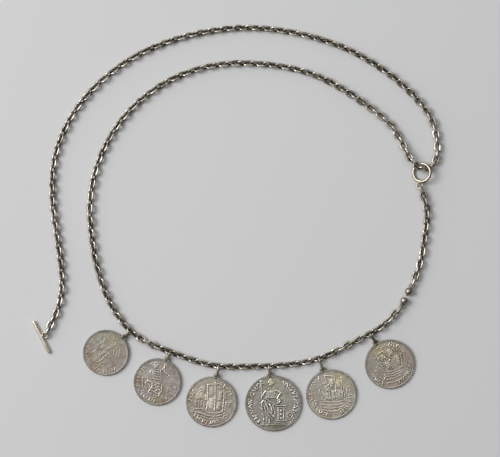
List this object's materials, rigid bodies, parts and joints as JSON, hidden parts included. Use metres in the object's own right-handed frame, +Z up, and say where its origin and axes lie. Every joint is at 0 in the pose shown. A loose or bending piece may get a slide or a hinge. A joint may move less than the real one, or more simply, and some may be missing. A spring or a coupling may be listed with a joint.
{
  "type": "coin necklace",
  "caption": "Long silver link chain with a toggle bar, slide ring and ball clasp, hung with old coins on jump rings, lying flat and unfastened.",
  "frame": {"origin": "middle of the necklace's box, on the surface that it lies on", "axes": "+Z up from the surface, +X to the right and +Y away from the coins as seen from above"},
  "size_m": [0.2253, 0.2238, 0.0066],
  "materials": {
    "chain_silver": "oxidised silver, dark in the gaps and bright on the high edges",
    "fitting_silver": "polished silver with light tarnish",
    "coin_silver": "worn old silver with warm and greenish tarnish in the recesses",
    "ring_silver": "worn silver wire"
  },
  "bodies": {
    "root": {"chain_outer": "chain_silver", "chain_inner": "chain_silver", "chain_short": "chain_silver", "slide_ring": "fitting_silver", "toggle_bar": "fitting_silver", "clasp_socket": "fitting_silver", "clasp_stud": "fitting_silver", "coin_1": "coin_silver", "coin_2": "coin_silver", "coin_3": "coin_silver", "coin_4": "coin_silver", "coin_5": "coin_silver", "coin_6": "coin_silver", "jump_ring_1": "ring_silver", "jump_ring_2": "ring_silver", "jump_ring_3": "ring_silver", "jump_ring_4": "ring_silver", "jump_ring_5": "ring_silver", "jump_ring_6": "ring_silver"}
  },
  "joints": []
}
